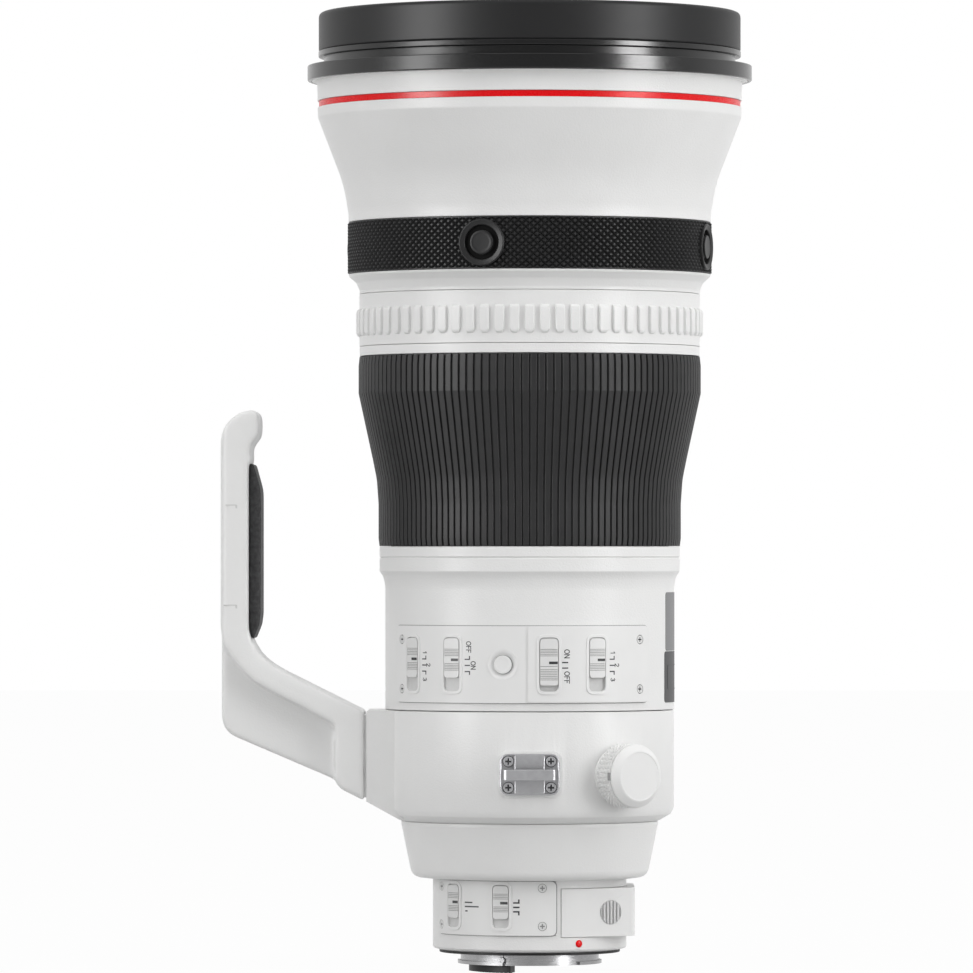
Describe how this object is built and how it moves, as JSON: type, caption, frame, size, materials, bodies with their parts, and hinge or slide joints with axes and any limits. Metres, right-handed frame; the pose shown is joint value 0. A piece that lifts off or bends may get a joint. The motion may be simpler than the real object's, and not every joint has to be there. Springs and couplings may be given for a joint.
{
  "type": "super telephoto lens",
  "caption": "Large white telephoto lens with focus and playback rings, switch panels, rotating tripod collar with grip foot, drop-in filter, iris and bayonet mount.",
  "frame": {"origin": "centre of the bayonet's seating face, on the optical axis", "axes": "+Z along the optical axis to the front element, -Y towards the side with the switches, -X towards the tripod foot, which hangs below the lens in use"},
  "size_m": [0.1938, 0.1626, 0.3504],
  "materials": {
    "white_paint": "off-white textured heat-shield paint on alloy",
    "black_metal": "satin black anodised",
    "gloss_black": "gloss black",
    "red": "gloss red inlay",
    "black_rubber": "moulded black rubber",
    "black_plastic": "fine-grained black plastic",
    "grey_plastic": "pale grey moulded plastic",
    "steel": "brushed stainless steel",
    "blade_steel": "blackened spring steel",
    "nameplate": "fine-blasted grey plates, bare",
    "motor_metal": "machined stator metal",
    "circuit": "green circuit board",
    "glass": "multi-coated optical glass"
  },
  "bodies": {
    "barrel": {"front_rim": "black_metal", "hood_ring": "gloss_black", "front_barrel": "white_paint", "red_inlays": "red", "grip_band": "black_rubber", "stop_bezels": "black_plastic", "inner_tube": "white_paint", "main_barrel": "white_paint", "switch_panel": "white_paint", "barrel_screws": "steel", "rear_barrel": "white_paint", "mount_barrel": "white_paint", "rear_panel": "white_paint", "mount_gasket": "black_rubber", "bayonet_mount": "steel", "contact_block": "black_plastic", "nameplates": "nameplate", "front_element": "glass", "focus_motor": "motor_metal", "main_board": "circuit", "core_housing": "black_metal", "rear_lens": "glass"},
    "playback_ring": {"playback_ring": "white_paint"},
    "focus_ring": {"focus_ring": "black_metal", "focus_grip": "black_rubber"},
    "collar": {"collar": "white_paint", "foot": "white_paint", "foot_pad": "black_rubber", "strap_lugs": "steel", "collar_screws": "steel"},
    "lock_knob": {"lock_knob": "white_paint"},
    "stop_button_1": {"stop_button_1": "black_plastic"},
    "stop_button_2": {"stop_button_2": "black_plastic"},
    "stop_button_3": {"stop_button_3": "black_plastic"},
    "stop_button_4": {"stop_button_4": "black_plastic"},
    "set_button": {"set_button": "black_plastic"},
    "speed_switch": {"speed_switch": "grey_plastic"},
    "preset_switch": {"preset_switch": "grey_plastic"},
    "stabiliser_switch": {"stabiliser_switch": "grey_plastic"},
    "mode_switch": {"mode_switch": "grey_plastic"},
    "range_switch": {"range_switch": "grey_plastic"},
    "focus_switch": {"focus_switch": "grey_plastic"},
    "filter_holder": {"filter_holder": "white_paint", "filter_glass": "glass"},
    "filter_lock_1": {"filter_lock_1": "grey_plastic"},
    "filter_lock_2": {"filter_lock_2": "grey_plastic"},
    "focus_group": {"focus_cell": "black_metal", "focus_lens": "glass"},
    "stabiliser_yoke": {"stabiliser_yoke": "black_metal"},
    "stabiliser_cell": {"stabiliser_cell": "black_metal", "stabiliser_lens": "glass"},
    "iris_ring": {"iris_ring": "black_metal"},
    "iris_blade_1": {"iris_blade_1": "blade_steel"},
    "iris_blade_2": {"iris_blade_2": "blade_steel"},
    "iris_blade_3": {"iris_blade_3": "blade_steel"},
    "iris_blade_4": {"iris_blade_4": "blade_steel"},
    "iris_blade_5": {"iris_blade_5": "blade_steel"},
    "iris_blade_6": {"iris_blade_6": "blade_steel"},
    "iris_blade_7": {"iris_blade_7": "blade_steel"},
    "iris_blade_8": {"iris_blade_8": "blade_steel"}
  },
  "joints": [
    {"name": "focus_turn", "type": "hinge", "parent": "barrel", "child": "focus_ring", "pos_m": [0, 0, 0.18], "axis": [0, 0, 1], "continuous": true},
    {"name": "playback_turn", "type": "hinge", "parent": "barrel", "child": "playback_ring", "pos_m": [0, 0, 0.2306], "axis": [0, 0, 1], "range_deg": [-10, 10], "stiffness_Nm_per_rad": 1.5},
    {"name": "collar_turn", "type": "hinge", "parent": "barrel", "child": "collar", "pos_m": [0, 0, 0.068], "axis": [0, 0, 1], "continuous": true},
    {"name": "lock_knob_turn", "type": "hinge", "parent": "collar", "child": "lock_knob", "pos_m": [0.0347, -0.04473, 0.0654], "axis": [0.6129, -0.7902, 0], "range_deg": [0, 120]},
    {"name": "stop_button_1_press", "type": "slide", "parent": "barrel", "child": "stop_button_1", "axis": [0.2588, 0.9659, 0], "range_m": [0, 0.001], "stiffness_N_per_m": 300},
    {"name": "stop_button_2_press", "type": "slide", "parent": "barrel", "child": "stop_button_2", "axis": [-0.9659, 0.2588, 0], "range_m": [0, 0.001], "stiffness_N_per_m": 300},
    {"name": "stop_button_3_press", "type": "slide", "parent": "barrel", "child": "stop_button_3", "axis": [-0.2588, -0.9659, 0], "range_m": [0, 0.001], "stiffness_N_per_m": 300},
    {"name": "stop_button_4_press", "type": "slide", "parent": "barrel", "child": "stop_button_4", "axis": [0.9659, -0.2588, 0], "range_m": [0, 0.001], "stiffness_N_per_m": 300},
    {"name": "set_press", "type": "slide", "parent": "barrel", "child": "set_button", "axis": [0.1805, 0.9836, 0], "range_m": [0, 0.0007], "stiffness_N_per_m": 300},
    {"name": "speed_slide", "type": "slide", "parent": "barrel", "child": "speed_switch", "axis": [0, 0, -1], "range_m": [0, 0.0046]},
    {"name": "preset_slide", "type": "slide", "parent": "barrel", "child": "preset_switch", "axis": [0, 0, -1], "range_m": [0, 0.0046]},
    {"name": "mode_slide", "type": "slide", "parent": "barrel", "child": "mode_switch", "axis": [0, 0, -1], "range_m": [0, 0.0046]},
    {"name": "stabiliser_slide", "type": "slide", "parent": "barrel", "child": "stabiliser_switch", "axis": [0, 0, -1], "range_m": [0, 0.0019]},
    {"name": "range_slide", "type": "slide", "parent": "barrel", "child": "range_switch", "axis": [0, 0, -1], "range_m": [0, 0.003]},
    {"name": "af_slide", "type": "slide", "parent": "barrel", "child": "focus_switch", "axis": [0, 0, -1], "range_m": [0, 0.003]},
    {"name": "filter_pull", "type": "slide", "parent": "barrel", "child": "filter_holder", "axis": [1, 0, 0], "range_m": [0, 0.07]},
    {"name": "filter_lock_1_press", "type": "slide", "parent": "filter_holder", "child": "filter_lock_1", "axis": [-0.4695, 0.8829, 0], "range_m": [0, 0.0011], "stiffness_N_per_m": 300},
    {"name": "filter_lock_2_press", "type": "slide", "parent": "filter_holder", "child": "filter_lock_2", "axis": [-0.4695, -0.8829, 0], "range_m": [0, 0.0011], "stiffness_N_per_m": 300},
    {"name": "focus_travel", "type": "slide", "parent": "barrel", "child": "focus_group", "axis": [0, 0, 1], "range_m": [0, 0.026]},
    {"name": "stabiliser_x", "type": "slide", "parent": "barrel", "child": "stabiliser_yoke", "axis": [1, 0, 0], "range_m": [-0.001, 0.001], "stiffness_N_per_m": 600},
    {"name": "stabiliser_y", "type": "slide", "parent": "stabiliser_yoke", "child": "stabiliser_cell", "axis": [0, 1, 0], "range_m": [-0.001, 0.001], "stiffness_N_per_m": 600},
    {"name": "iris_turn", "type": "hinge", "parent": "barrel", "child": "iris_ring", "pos_m": [0, 0, 0.12], "axis": [0, 0, 1], "range_deg": [0, 4.02]},
    {"name": "iris_blade_1_swing", "type": "hinge", "parent": "barrel", "child": "iris_blade_1", "pos_m": [0.03, 0, 0.1175], "axis": [0, 0, 1], "range_deg": [0, 39.2]},
    {"name": "iris_blade_2_swing", "type": "hinge", "parent": "barrel", "child": "iris_blade_2", "pos_m": [0.02121, 0.02121, 0.1175], "axis": [0, 0, 1], "range_deg": [0, 39.2]},
    {"name": "iris_blade_3_swing", "type": "hinge", "parent": "barrel", "child": "iris_blade_3", "pos_m": [0, 0.03, 0.1175], "axis": [0, 0, 1], "range_deg": [0, 39.2]},
    {"name": "iris_blade_4_swing", "type": "hinge", "parent": "barrel", "child": "iris_blade_4", "pos_m": [-0.02121, 0.02121, 0.1175], "axis": [0, 0, 1], "range_deg": [0, 39.2]},
    {"name": "iris_blade_5_swing", "type": "hinge", "parent": "barrel", "child": "iris_blade_5", "pos_m": [-0.03, 0, 0.1175], "axis": [0, 0, 1], "range_deg": [0, 39.2]},
    {"name": "iris_blade_6_swing", "type": "hinge", "parent": "barrel", "child": "iris_blade_6", "pos_m": [-0.02121, -0.02121, 0.1175], "axis": [0, 0, 1], "range_deg": [0, 39.2]},
    {"name": "iris_blade_7_swing", "type": "hinge", "parent": "barrel", "child": "iris_blade_7", "pos_m": [0, -0.03, 0.1175], "axis": [0, 0, 1], "range_deg": [0, 39.2]},
    {"name": "iris_blade_8_swing", "type": "hinge", "parent": "barrel", "child": "iris_blade_8", "pos_m": [0.02121, -0.02121, 0.1175], "axis": [0, 0, 1], "range_deg": [0, 39.2]}
  ],
  "couplings": [
    {"joint": "iris_blade_1_swing", "follows": "iris_turn", "ratio": 9.7042},
    {"joint": "iris_blade_2_swing", "follows": "iris_turn", "ratio": 9.7042},
    {"joint": "iris_blade_3_swing", "follows": "iris_turn", "ratio": 9.7042},
    {"joint": "iris_blade_4_swing", "follows": "iris_turn", "ratio": 9.7042},
    {"joint": "iris_blade_5_swing", "follows": "iris_turn", "ratio": 9.7042},
    {"joint": "iris_blade_6_swing", "follows": "iris_turn", "ratio": 9.7042},
    {"joint": "iris_blade_7_swing", "follows": "iris_turn", "ratio": 9.7042},
    {"joint": "iris_blade_8_swing", "follows": "iris_turn", "ratio": 9.7042}
  ]
}
